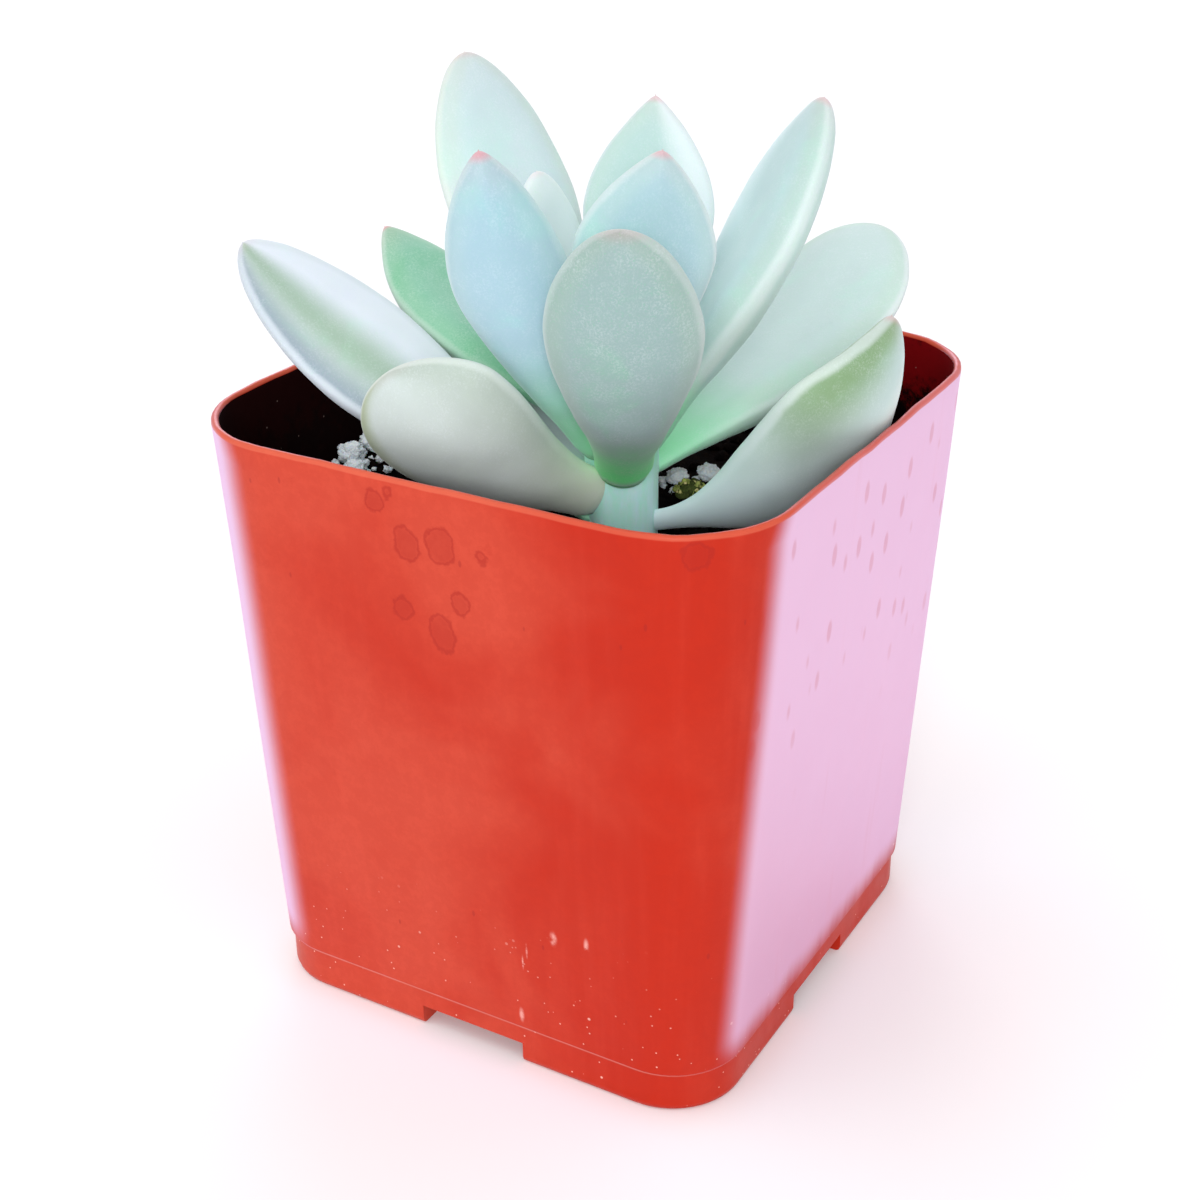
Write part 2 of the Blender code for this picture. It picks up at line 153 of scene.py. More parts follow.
# How each kind of leaf is tinted, as display values from 0 to 1. upper and lower: its two faces;
# a darker lower tint is partly painted shade on the underside. band: the strip inside the margin,
# margin: the margin itself. base: how far the tint at its root runs up the leaf. blush: how strong
# the pink of its tip is. root: its own tint there, green, but pale on the front_side and cream
# leaves, where it is painted light over the shade at their bases. stripe: a tint along the leaf,
# with its place across (-1 to 1), its half width and strength. shading_flank: a tint that grows
# between two places across, painted shade where it is darker and painted light where it is
# lighter. channel: how hollow the upper face is.
LOOKS = {
    "front": dict(
        upper=(0.70, 0.80, 0.77), lower=(0.60, 0.70, 0.69), band=(0.62, 0.72, 0.67),
        margin=(0.74, 0.80, 0.78), base=0.34, blush=0.2, root=(0.34, 0.98, 0.48)),
    # front_side: the pale root and the pale flank are painted light over the shade by the pot
    # wall.
    "front_side": dict(
        upper=(0.68, 0.78, 0.66), lower=(0.74, 0.82, 0.80), band=(0.70, 0.79, 0.70),
        margin=(0.84, 0.89, 0.86), base=0.75, blush=0.4, root=(0.88, 0.97, 0.99),
        stripe=(-0.85, 0.80, (0.52, 0.65, 0.47), 1.0),
        shading_flank=(-0.2, 0.6, (0.90, 0.96, 0.94))),
    # cream: the pale root is painted light over the shade at its base, the darker flank painted
    # shade.
    "cream": dict(
        upper=(0.80, 0.84, 0.80), lower=(0.81, 0.85, 0.83), band=(0.72, 0.77, 0.70),
        margin=(0.86, 0.89, 0.86), base=0.45, blush=0.05, root=(0.92, 0.97, 0.88),
        stripe=(-1.0, 0.4, (0.62, 0.67, 0.44), 0.8), shading_flank=(0.1, 0.9, (0.72, 0.77, 0.73))),
    # lavender: the darker lower tint and the flank are painted shade on the half that faces down.
    "lavender": dict(
        upper=(0.94, 0.96, 1.0), lower=(0.62, 0.70, 0.74), band=(0.84, 0.88, 0.90),
        margin=(0.84, 0.87, 0.90), base=0.2, blush=0.1,
        stripe=(0.42, 0.60, (0.62, 0.73, 0.63), 0.9),
        shading_flank=(0.50, 0.95, (0.55, 0.61, 0.67)), channel=-0.09),
    "green": dict(
        upper=(0.56, 0.78, 0.67), lower=(0.54, 0.75, 0.65), band=(0.58, 0.79, 0.65),
        margin=(0.74, 0.86, 0.78), base=0.6, blush=1.0, root=(0.13, 0.62, 0.36)),
    "pale": dict(
        upper=(0.81, 0.88, 0.89), lower=(0.79, 0.87, 0.87), band=(0.81, 0.87, 0.83),
        margin=(0.87, 0.90, 0.87), base=0.2, blush=0.3),
    "small": dict(
        upper=(0.95, 1.0, 1.0), lower=(0.92, 0.99, 0.99), band=(0.92, 0.98, 0.96),
        margin=(0.94, 0.98, 0.98), base=0.1, blush=0.2),
    "blue": dict(
        upper=(0.67, 0.79, 0.81), lower=(0.66, 0.79, 0.84), band=(0.70, 0.82, 0.84),
        margin=(0.78, 0.87, 0.88), base=0.5, blush=0.8),
    # back: the pale flank is painted light.
    "back": dict(
        upper=(0.76, 0.87, 0.85), lower=(0.73, 0.85, 0.83), band=(0.80, 0.89, 0.85),
        margin=(0.88, 0.92, 0.92), base=0.28, blush=0.5,
        shading_flank=(-0.1, -0.8, (0.92, 0.96, 0.97))),
    # mint: the pale flank is painted light.
    "mint": dict(
        upper=(0.76, 0.86, 0.86), lower=(0.76, 0.87, 0.87), band=(0.74, 0.83, 0.78),
        margin=(0.85, 0.90, 0.89), base=0.2, blush=0.5,
        shading_flank=(0.1, 0.7, (0.91, 0.98, 0.99))),
    "teal": dict(
        upper=(0.66, 0.79, 0.78), lower=(0.68, 0.81, 0.84), band=(0.74, 0.85, 0.84),
        margin=(0.84, 0.90, 0.90), base=0.45, blush=0.6),
    "grey": dict(
        upper=(0.81, 0.88, 0.87), lower=(0.71, 0.80, 0.77), band=(0.78, 0.87, 0.81),
        margin=(0.88, 0.91, 0.91), base=0.4, blush=0.05),
}

# Marks on the plastic, in millimetres. Drops: across, height, radius. Scratches: across, height,
# how slender.
FRONT_DROPS = (
    (-2.5, 54, 1.5), (1, 54.5, 1.7), (5, 54.5, 0.6), (2.5, 49.5, 1.0),
    (-3.5, 47.5, 1.1), (0.5, 46, 1.6), (-5.5, 57.5, 1.0), (-4, 58.5, 0.5),
    (24, 58, 1.1),
)
SCRATCHES = ((10, 16.5, 2.0), (13.5, 17, 3.0), (6, 6, 3.0), (7, 14, 7.0), (6.5, 12.5, 8.0))

# Loose grains on the soil, as nodes of the frame, with the crumbs round each, and the moss.
PERLITE_NODES = [f"perlite_{number}" for number in range(1, 9)]
PERLITE_CRUMBS = 7
MOSS_TUFTS = 150

# Colours of the plastic's marks, and of the painted highlight on its rim, as linear light.
PALE_STREAK = (0.78, 0.10, 0.06)
MOTTLE = (0.40, 0.016, 0.006)
BLOTCH = (0.42, 0.016, 0.006)
DROP = (0.36, 0.014, 0.008)
SCRATCH = (0.85, 0.42, 0.36)
GRIT = (0.95, 0.62, 0.52)
FLECK = (0.30, 0.012, 0.012)
SEAM_WHITENED = (0.85, 0.35, 0.27)
RIM_HIGHLIGHT = (0.80, 0.20, 0.11)

# The camera looks at CAMERA_AIM, and the lights at LIGHT_AIM.
CAMERA_AIM = (0, 0, 0.03715)
CAMERA_ROLL = radians(-0.34)
LIGHT_AIM = (0, 0, 0.045)
FLOOR_RADIUS = 1.6
FLOOR_STEPS = 96


# ---------------------------------------------------------------- helpers


def light(display):
    """Linear light from display values between 0 and 1."""
    made = []
    for value in display:
        made.append(value / 12.92 if value <= 0.04045 else ((value + 0.055) / 1.055) ** 2.4)
    return tuple(made)


def ease(share):
    share = min(max(share, 0), 1)
    return share * share * (3 - 2 * share)


def wobble(place, size):
    """Smooth noise between -1 and 1 that changes over a length of size."""
    return noise.noise(Vector(place) / size)


def put(name, data):
    """A new object in the scene."""
    made = bpy.data.objects.new(name, data)
    bpy.context.scene.collection.objects.link(made)
    return made


def mesh_object(name, verts, faces, material, smooth=True):
    mesh = bpy.data.meshes.new(name)
    mesh.from_pydata([tuple(v) for v in verts], [], faces)
    mesh.validate()
    if smooth:
        mesh.shade_smooth()
    mesh.materials.append(material)
    return put(name, mesh)


def lumps_object(name, bm, material, key, values):
    """The lumps in bm as one object, with a value at each point."""
    mesh = bpy.data.meshes.new(name)
    bm.to_mesh(mesh)
    bm.free()
    mesh.shade_smooth()
    mesh.materials.append(material)
    point_value(mesh, key, values)
    return put(name, mesh)


def point_value(mesh, name, values):
    attribute = mesh.attributes.new(name, "FLOAT", "POINT")
    attribute.data.foreach_set("value", np.asarray(values, np.float32))


def stand_in(piece, slot, *nodes):
    """The piece takes the place of these nodes of the frame."""
    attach(piece, "root")
    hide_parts(*nodes)


def tube_faces(rings, count):
    """Faces of a grid of rings, numbered from 0, closed round each ring."""
    faces = []
    for ring in range(rings - 1):
        low, high = ring * count, (ring + 1) * count
        for i in range(count):
            j = (i + 1) % count
            faces.append((low + i, low + j, high + j, high + i))
    return faces


def capped_tube(rings, count):
    """The same, closed with a flat face at each end."""
    last = (rings - 1) * count
    return tube_faces(rings, count) + [
        tuple(reversed(range(count))),
        tuple(range(last, last + count)),
    ]


class Recipe:
    """A material with its nodes, made one at a time. colour: its base colour so far."""

    colour = None

    def __init__(self, name):
        self.material = bpy.data.materials.new(name)
        self.material.use_nodes = True
        self.tree = self.material.node_tree
        self.shader = self.tree.nodes["Principled BSDF"]
        self.place = self.node("ShaderNodeTexCoord").outputs["Object"]

    def node(self, kind, **settings):
        made = self.tree.nodes.new(kind)
        for key, value in settings.items():
            setattr(made, key, value)
        return made

    def feed(self, socket, value):
        """Links a socket to the socket given, or sets it to the value given."""
        if isinstance(value, bpy.types.NodeSocket):
            self.tree.links.new(value, socket)
        elif isinstance(value, tuple) and len(value) == 3 and socket.type == "RGBA":
            socket.default_value = (*value, 1.0)
        else:
            socket.default_value = value

    def set(self, **values):
        """Values on the shader's own sockets, or what feeds them."""
        for key, value in values.items():
            self.feed(self.shader.inputs[key.replace("_", " ")], value)

    def value(self, name):
        """A value that the mesh carries at each point."""
        return self.node("ShaderNodeAttribute", attribute_name=name).outputs["Fac"]

    def math(self, operation, *values):
        made = self.node("ShaderNodeMath", operation=operation)
        for socket, value in zip(made.inputs, values):
            self.feed(socket, value)
        return made.outputs[0]

    def times(self, first, *others):
        for value in others:
            first = self.math("MULTIPLY", first, value)
        return first

    def swing(self, value, reach):
        """A value between 0 and 1 as one that swings by reach about 0."""
        return self.times(self.math("SUBTRACT", value, 0.5), reach)

    def off(self, value, centre):
        """How far a value is from a centre, to either side."""
        return self.math("ABSOLUTE", self.math("SUBTRACT", value, centre))

    def ramp(self, value, low, high, start=0.0, end=1.0):
        """Start below low, end above high, and a soft change between."""
        made = self.node("ShaderNodeMapRange", interpolation_type="SMOOTHSTEP")
        for key, given in (
            ("Value", value), ("From Min", low), ("From Max", high), ("To Min", start),
            ("To Max", end),
        ):
            self.feed(made.inputs[key], given)
        return made.outputs[0]

    def mix(self, share, first, second, blend="MIX"):
        made = self.node("ShaderNodeMix", data_type="RGBA", blend_type=blend)
        self.feed(made.inputs["Factor"], share)
        self.feed(made.inputs[6], first)
        self.feed(made.inputs[7], second)
        return made.outputs[2]

    def tint(self, share, colour, blend="MIX"):
        """Lays a share of a colour over the base colour."""
        self.colour = self.mix(share, self.colour, colour, blend)

    def stretched(self, factors, offset=(0, 0, 0)):
        made = self.node("ShaderNodeMapping")
        self.feed(made.inputs["Vector"], self.place)
        made.inputs["Scale"].default_value = factors
        made.inputs["Location"].default_value = offset
        return made.outputs[0]

    def axes(self):
        """The three parts of the place on the object."""
        parts = self.node("ShaderNodeSeparateXYZ")
        self.feed(parts.inputs[0], self.place)
        return parts.outputs

    def apart(self, across, up, centre, squeeze):
        """How far a place on a wall is from a centre given in millimetres.

        Above 1, squeeze makes what is drawn with it slender.
        """
        off_x = self.times(self.math("SUBTRACT", across, centre[0] * MM), squeeze)
        off_z = self.math("SUBTRACT", up, centre[1] * MM)
        squares = [self.math("POWER", part, 2.0) for part in (off_x, off_z)]
        return self.math("SQRT", self.math("ADD", *squares))

    def noise(self, size, detail, roughness, place=None, warp=0.0):
        """Noise whose lumps are about size metres across."""
        made = self.node("ShaderNodeTexNoise")
        self.feed(made.inputs["Vector"], place or self.place)
        made.inputs["Scale"].default_value = 1 / size
        made.inputs["Detail"].default_value = detail
        made.inputs["Roughness"].default_value = roughness
        made.inputs["Distortion"].default_value = warp
        return made.outputs["Fac"]

    def cells(self, size, place=None):
        """How far each place is from the middle of its cell."""
        made = self.node("ShaderNodeTexVoronoi", feature="F1")
        self.feed(made.inputs["Vector"], place or self.place)
        made.inputs["Scale"].default_value = 1 / size
        return made.outputs["Distance"]

    def bump(self, height, distance, strength, under=None):
        made = self.node("ShaderNodeBump")
        made.inputs["Strength"].default_value = strength
        made.inputs["Distance"].default_value = distance
        self.feed(made.inputs["Height"], height)
        if under:
            self.feed(made.inputs["Normal"], under)
        return made.outputs[0]

    def haze(self, low, high, most, tint, roughness):
        """A dusty gloss that grows over the shader as the surface turns away."""
        facing = self.node("ShaderNodeLayerWeight").outputs["Facing"]
        share = self.times(self.ramp(facing, low, high), most)
        gloss = self.node("ShaderNodeBsdfGlossy")
        self.feed(gloss.inputs["Color"], tint)
        gloss.inputs["Roughness"].default_value = roughness
        both = self.node("ShaderNodeMixShader")
        self.feed(both.inputs[0], share)
        self.feed(both.inputs[1], self.shader.outputs[0])
        self.feed(both.inputs[2], gloss.outputs[0])
        surface = self.tree.nodes["Material Output"].inputs["Surface"]
        self.tree.links.new(both.outputs[0], surface)


# ---------------------------------------------------------------- settings


def colour_setting(name, description, default):
    return FloatVectorProperty(
        name=name, description=description, subtype="COLOR", size=3, min=0, max=1,
        default=default)


def number_setting(name, description, default, **kind):
    return FloatProperty(name=name, description=description, default=default, **kind)


def length_setting(name, description, default):
    return number_setting(name, description, default, unit="LENGTH")


class PotSettings(bpy.types.PropertyGroup):
    plastic: colour_setting(
        "Plastic", "Colour of the moulded plastic", (0.58, 0.060, 0.029))
    # The deep red also carries the painted shade towards +X.
    plastic_deep_and_shade: colour_setting(
        "Deep plastic", "Colour where the plastic is clean and dark", (0.49, 0.019, 0.004))
    haze: colour_setting(
        "Haze", "Tint of the dusty sheen seen at a low angle", (0.89, 0.67, 0.90))
    inside: colour_setting("Inside", "Colour of the inner walls", (0.19, 0.001, 0.003))
    roughness: number_setting(
        "Roughness", "How satin the plastic is", 0.36, subtype="FACTOR", min=0, max=1)
    wall: length_setting("Wall", "Thickness of the wall", 0.7 * MM)
    taper: length_setting("Taper", "How far each wall leans out from base to rim", 3.0 * MM)
    rim_corner: length_setting("Rim corner", "Corner radius at the rim", 10.8 * MM)
    base_corner: length_setting("Base corner", "Corner radius at the base", 7.2 * MM)
    seam: length_setting("Seam height", "Height of the fine seam above the base", 4.5 * MM)
    channel_width: length_setting(
        "Channel width", "Width of the slot under each face", 11.5 * MM)
    channel_height: length_setting(
        "Channel height", "Height of the slot under each face", 2.2 * MM)
    burr: length_setting("Burr", "Height of the rim's worn burrs", 0.25 * MM)


class LeafSettings(bpy.types.PropertyGroup):
    around: IntProperty(
        name="Points round", description="Points round each leaf", min=16, default=64)
    along: IntProperty(
        name="Points along", description="Points along each leaf", min=16, default=90)
    green: colour_setting(
        "Green", "Colour of the skin where no bloom covers it", light((0.62, 0.95, 0.75)))
    blush: colour_setting("Blush", "Colour of the leaf tips", light((0.86, 0.50, 0.55)))
    bloom: colour_setting(
        "Bloom", "Colour of the powder on the skin", light((0.93, 0.96, 0.97)))
    dimples: length_setting("Dimples", "Depth of the soft unevenness of a leaf", 0.16 * MM)


class SoilSettings(bpy.types.PropertyGroup):
    peat: colour_setting("Peat", "Colour of the potting mix", (0.0035, 0.002, 0.002))
    relief: length_setting("Relief", "Height of the lumps on top", 0.9 * MM)
    crumbs: IntProperty(
        name="Crumbs", description="Number of loose crumbs", min=0, default=700)


class StageSettings(bpy.types.PropertyGroup):
    floor: colour_setting("Floor", "Colour of the floor", (0.97, 0.97, 0.98))
    sky: number_setting("Sky", "Strength of the even light all round", 0.79)
    key: number_setting(
        "Key light", "Strength of the large soft light overhead", 3.4, unit="POWER")
    fill: number_setting(
        "Fill light", "Strength of the soft light in front", 5.4, unit="POWER")
    back: number_setting(
        "Back light", "Strength of the soft light behind", 2.0, unit="POWER")
    lens: number_setting("Lens", "Focal length on a frame 36 mm wide", 57.3)
    distance: length_setting("Distance", "Distance from the camera to the middle", 0.189)
    azimuth: number_setting(
        "Azimuth", "Direction of the camera round the pot", radians(30.04), subtype="ANGLE")
    elevation: number_setting(
        "Elevation", "Height of the camera as an angle", radians(26.35), subtype="ANGLE")


# ---------------------------------------------------------------- pot


def rounded_square(half, corner, z, corner_steps=14, side_steps=16):
    """A level ring of points round a square with rounded corners, anticlockwise from above."""
    reach = half - corner
    sides = [(1, 1), (-1, 1), (-1, -1), (1, -1)]

    def on_corner(quarter, turn):
        side_x, side_y = sides[quarter % 4]
        return Vector((side_x * reach + corner * cos(turn),
                       side_y * reach + corner * sin(turn), z))

    ring = []
    for quarter in range(4):
        for step in range(corner_steps + 1):
            ring.append(on_corner(quarter, (quarter + step / corner_steps) * pi / 2))
        start, end = ring[-1], on_corner(quarter + 1, (quarter + 1) * pi / 2)
        for step in range(1, side_steps):
            ring.append(start.lerp(end, step / side_steps))
    return ring


def drop_marks(r, across, up, drops):
    """Dried water drops: thin wavy outlines round a slightly darker middle."""
    wavy = r.swing(r.noise(1.6 * MM, 3, 0.65), 1.6 * MM)
    marks = 0.0
    for centre_x, centre_z, radius in drops:
        apart = r.math("ADD", r.apart(across, up, (centre_x, centre_z), 1.25), wavy)
        line = r.ramp(r.off(apart, radius * MM), 0.04 * MM, 0.32 * MM, 0.9, 0.0)
        middle = r.ramp(apart, (radius - 0.4) * MM, (radius + 0.1) * MM, 0.55, 0.0)
        marks = r.math("MAXIMUM", marks, r.math("MAXIMUM", line, middle))
    return marks


def wall_marks(r, mottle, x, y, z):
    """Drops and scratches on the front, pale grit low down and dark flecks anywhere."""
    front = r.ramp(y, -24 * MM, -25.5 * MM)
    r.tint(r.times(drop_marks(r, x, z, FRONT_DROPS), front, 0.6), DROP)
    for centre_x, centre_z, slender in SCRATCHES:
        apart = r.apart(x, z, (centre_x, centre_z), slender)
        scratch = r.ramp(apart, 0.2 * MM, 1.1 * MM, 0.75, 0.0)
        r.tint(r.times(scratch, r.ramp(mottle, 0.38, 0.60), front), SCRATCH)
    low_down = r.ramp(z, 20 * MM, 2 * MM)
    for size, share in ((2.6 * MM, 0.045), (1.1 * MM, 0.06)):
        grit = r.ramp(r.cells(size), share, share + 0.03, 1.0, 0.0)
        r.tint(r.times(grit, low_down, 0.75), GRIT)
    flecks = r.cells(3.4 * MM, r.stretched((1, 1, 0.45), (0.1, 0.2, 0.3)))
    r.tint(r.ramp(flecks, 0.035, 0.055, 0.4, 0.0), FLECK)


def dusty_sheen(r, pot, streaks, rim, x, z):
    """A sheen that is wide on the +X side, narrow elsewhere, and rubbed away at the foot."""
    foot = r.math("ADD", z, r.swing(streaks, 2 * MM))
    side = r.ramp(x, 24 * MM, 25.5 * MM)
    dashes = r.cells(2.4 * MM, r.stretched((1, 1, 0.45), (0.7, 0.1, 0.2)))
    dashes = r.ramp(dashes, 0.12, 0.28, 1.0, 0.0)
    stains = r.times(dashes, side, r.ramp(z, 24 * MM, 44 * MM))
    stains = r.math("MAXIMUM", stains, r.ramp(streaks, 0.60, 0.75, 0.0, 0.35))
    worn = r.times(
        r.ramp(foot, 3.5 * MM, 8 * MM),
        r.ramp(stains, 0.0, 1.0, 1.0, 0.74),
        r.ramp(rim, 0.0, 1.0, 1.0, 0.2),
    )

    def towards_side(elsewhere, on_side):
        return r.ramp(x, 14 * MM, 24 * MM, elsewhere, on_side)

    r.haze(
        towards_side(0.44, 0.37), towards_side(0.80, 0.62),
        r.times(worn, towards_side(0.9, 0.78)), tuple(pot.haze), 0.34)


def pot_plastic(pot):
    """Satin plastic, mottled and marked, with painted shade that deepens the red towards +X, and a
    dusty sheen.
    """
    r = Recipe("pot_plastic")
    rim = r.value("pot_rim")
    x, y, z = r.axes()

    tone_and_corner_shade = r.noise(22 * MM, 3, 0.55, warp=0.6)
    # Painted shade: the red deepens towards the +X corner.
    tone_and_corner_shade = r.math("ADD", tone_and_corner_shade, r.ramp(x, 2 * MM, 22 * MM, 0.0, 0.35))
    r.colour = r.mix(r.ramp(tone_and_corner_shade, 0.40, 0.85), tuple(pot.plastic), tuple(pot.plastic_deep_and_shade))
    streaks = r.noise(3 * MM, 3, 0.6, r.stretched((1, 1, 0.06)))
    r.tint(r.times(r.ramp(streaks, 0.45, 0.75), 0.10), PALE_STREAK)

    mottle = r.noise(1.3 * MM, 5, 0.75)
    r.tint(r.ramp(mottle, 0.42, 0.62, 0.16, 0.0), MOTTLE)
    blotches = r.ramp(r.noise(5 * MM, 4, 0.7, warp=0.8), 0.58, 0.72)
    blotches = r.times(blotches, r.ramp(mottle, 0.40, 0.60), 0.30)
    r.tint(blotches, BLOTCH)

    wall_marks(r, mottle, x, y, z)

    # The seam is a little stress whitened, and the thin rim carries a painted highlight.
    seam = r.ramp(r.off(z, pot.seam - 0.25 * MM), 0.10 * MM, 0.28 * MM, 0.35, 0.0)
    r.tint(seam, SEAM_WHITENED)
    r.tint(r.times(rim, 0.35), RIM_HIGHLIGHT)

    polish = r.ramp(
        r.noise(6 * MM, 4, 0.65), 0.3, 0.7, pot.roughness - 0.06, pot.roughness + 0.10)
    grain = r.bump(r.noise(0.35 * MM, 3, 0.6), 0.012 * MM, 0.6)
    ripple = r.bump(r.noise(9 * MM, 2, 0.5), 0.10 * MM, 0.5, grain)
    r.set(Base_Color=r.colour, Roughness=polish, Normal=ripple, Specular_IOR_Level=0.15,
          IOR=1.5)

    dusty_sheen(r, pot, streaks, rim, x, z)
    return r.material


def pot_lining(pot):
    """The inner wall: the same plastic, dull with dried soil, with painted shade that turns it
    near black towards -X and darker towards the soil.
    """
    r = Recipe("pot_lining")
    x, _, z = r.axes()
    dust = r.noise(1.4 * MM, 4, 0.7)
    depth = r.ramp(z, SOIL_TOP, POT_HIGH.z - 1 * MM)
    # Darker towards the soil: dried soil, and painted shade deep in the pot.
    dusty = r.ramp(r.math("SUBTRACT", dust, r.times(depth, 0.45)), 0.12, 0.42)
    # Painted shade: the inner wall turns near black towards -X.
    clean_and_shaded = r.mix(r.ramp(x, -24 * MM, 24 * MM), (0.012, 0.0004, 0.0004), tuple(pot.inside))
    r.colour = r.mix(dusty, clean_and_shaded, (0.005, 0.0004, 0.0004))
    specks = r.ramp(r.cells(1.9 * MM), 0.03, 0.06, 0.45, 0.0)
    r.tint(specks, (0.40, 0.30, 0.26))
    r.set(Base_Color=r.colour, Normal=r.bump(dust, 0.05 * MM, 0.5), Roughness=0.9,
          Specular_IOR_Level=0.06)
    return r.material


def pot_profile(pot):
    """Up the outer wall, over the rim and down the inner wall.

    Each row is half the width, the corner radius, the height, whether it is inside and
    whether it is on the rim.
    """
    top, wall, seam, edge = POT_HIGH.z, pot.wall, pot.seam, FOOT_EDGE
    base_half = POT_HIGH.x - pot.taper
    skirt_half = base_half - SKIRT_STEP
    round_top = top - wall / 2

    def outer_at(z):
        if z <= seam:
            return skirt_half, pot.base_corner
        share = (z - seam) / (top - seam)
        corner = pot.base_corner + (pot.rim_corner - pot.base_corner) * share
        return base_half + pot.taper * share, corner

    rows = []
    for back, z in ((1, 0), (0.55, 0.07), (0.22, 0.3), (0, 1), (0, 1.25)):
        inset = back * edge
        rows.append((skirt_half - inset, pot.base_corner - inset, z * edge, 0, 0))
    for half, z in (
        (skirt_half, 0.5 * seam),
        (skirt_half, seam - 0.6 * MM),
        (skirt_half, seam - 0.45 * MM),
        (skirt_half + 0.06 * MM, seam - 0.28 * MM),
        (base_half - 0.06 * MM, seam - 0.12 * MM),
        (base_half, seam),
        (base_half, seam + 0.12 * MM),
    ):
        rows.append((half, pot.base_corner, z, 0, 0))
    for level in range(1, WALL_LEVELS + 1):
        z = seam + (round_top - seam) * level / WALL_LEVELS
        rows.append((*outer_at(z), z, 0, int(level == WALL_LEVELS)))
    half, corner = outer_at(top)
    rows.insert(-1, (half, corner, round_top - 0.15 * MM, 0, 0))
    for step in range(1, LIP_STEPS):
        turn = step * pi / LIP_STEPS
        inset = wall / 2 * (1 - cos(turn))
        rows.append((half - inset, corner - inset, round_top + wall / 2 * sin(turn), 0, 1))
    for level in range(WALL_LEVELS + 1):
        z = round_top - (round_top - POT_FLOOR) * level / WALL_LEVELS
        half, corner = outer_at(z)
        rows.append((half - wall, corner - wall, z, 1, 0))
    return rows


def wear(vert, pot):
    """Moves a point of the pot: walls a little wavy, the rim uneven and burred at one side."""
    rim_half, top = POT_HIGH.x, POT_HIGH.z
    rise = ease((vert.z - 0.4 * top) / (0.6 * top))
    outward = Vector((vert.x, vert.y, 0)).normalized()
    vert += outward * (0.14 * MM * rise * wobble(vert.to_3d(), 26 * MM))
    on_rim = ease((vert.z - top + 1.0 * MM) / (0.8 * MM))
    ragged = 0.10 * MM * wobble(vert, 3.0 * MM) + 0.05 * MM * wobble(vert, 0.9 * MM)
    burred = ease((vert.x - 0.9 * rim_half) / (0.06 * rim_half))
    burred *= ease(1.4 - abs(vert.y - 1.5 * MM) / (6 * MM))
    ragged += burred * pot.burr * (wobble(vert, 1.1 * MM) - 0.3)
    vert.z += on_rim * (ragged - 0.12 * MM)


def make_pot(pot):
    """The moulding: outer wall, rolled rim, inner wall and floor as one closed skin."""
    rows = pot_profile(pot)
    verts, rim = [], []
    for half, corner, z, _, on_rim in rows:
        ring = rounded_square(half, corner, z)
        verts += ring
        rim += [on_rim] * len(ring)
    for vert in verts:
        wear(vert, pot)
    count = len(ring)
    piece = mesh_object(
        "pot_shell", verts, capped_tube(len(rows), count), pot_plastic(pot))
    point_value(piece.data, "pot_rim", rim)
    piece.data.materials.append(pot_lining(pot))
    first_inner = [row[3] for row in rows].index(1)
    for polygon in piece.data.polygons:
        polygon.material_index = int(polygon.index >= first_inner * count)
    cut_blocks(piece, pot)
    piece.data.set_sharp_from_angle(angle=radians(38))
    stand_in(piece, "pot_plastic", "pot")


def block(bm, width, depth, low, high):
    """An upright box in the middle of the pot, between two heights."""
    made = bmesh.ops.create_cube(bm, size=1)["verts"]
    bmesh.ops.scale(bm, vec=(width, depth, high - low), verts=made)
    bmesh.ops.translate(bm, vec=(0, 0, (low + high) / 2), verts=made)


def boolean(piece, bm, operation):
    """Adds what is in bm to the piece, or cuts it away."""
    mesh = bpy.data.meshes.new("tool")
    bmesh.ops.recalc_face_normals(bm, faces=bm.faces)
    bm.to_mesh(mesh)
    bm.free()
    tool = put("tool", mesh)
    modifier = piece.modifiers.new("tool", "BOOLEAN")
    modifier.operation = operation
    modifier.solver = "EXACT"
    modifier.object = tool
    bpy.context.view_layer.update()
    graph = bpy.context.evaluated_depsgraph_get()
    done = bpy.data.meshes.new_from_object(piece.evaluated_get(graph))
    piece.modifiers.clear()
    old = piece.data
    piece.data = done
    done.name = piece.name
    bpy.data.meshes.remove(old)
    bpy.data.objects.remove(tool)
    bpy.data.meshes.remove(mesh)


def cut_blocks(piece, pot):
    """The two crossed channels under the floor, the ridge over them, and the drain holes."""
    width, height = pot.channel_width, pot.channel_height
    ridge = width + 2 * pot.wall
    through = 4 * POT_HIGH.x
    inner = 2 * (POT_HIGH.x - pot.taper - pot.wall)
    for operation, size, heights in (
        ("UNION", (inner, ridge), (0.5 * POT_FLOOR, height + POT_FLOOR)),
        ("UNION", (ridge, inner), (0.5 * POT_FLOOR, height + POT_FLOOR)),
        ("DIFFERENCE", (through, width), (-POT_FLOOR, height)),
        ("DIFFERENCE", (width, through), (-POT_FLOOR, height)),
    ):
        bm = bmesh.new()
        block(bm, *size, *heights)
        boolean(piece, bm, operation)
    bm = bmesh.new()
    reach = POT_HIGH.x - pot.taper - DRAIN_INSET
    for side_x in (-1, 1):
        for side_y in (-1, 1):
            bmesh.ops.create_cone(
                bm, cap_ends=True, segments=32, depth=4 * POT_FLOOR, radius1=DRAIN_RADIUS,
                radius2=DRAIN_RADIUS,
                matrix=Matrix.Translation((side_x * reach, side_y * reach, 0)))
    boolean(piece, bm, "DIFFERENCE")


# ---------------------------------------------------------------- leaves


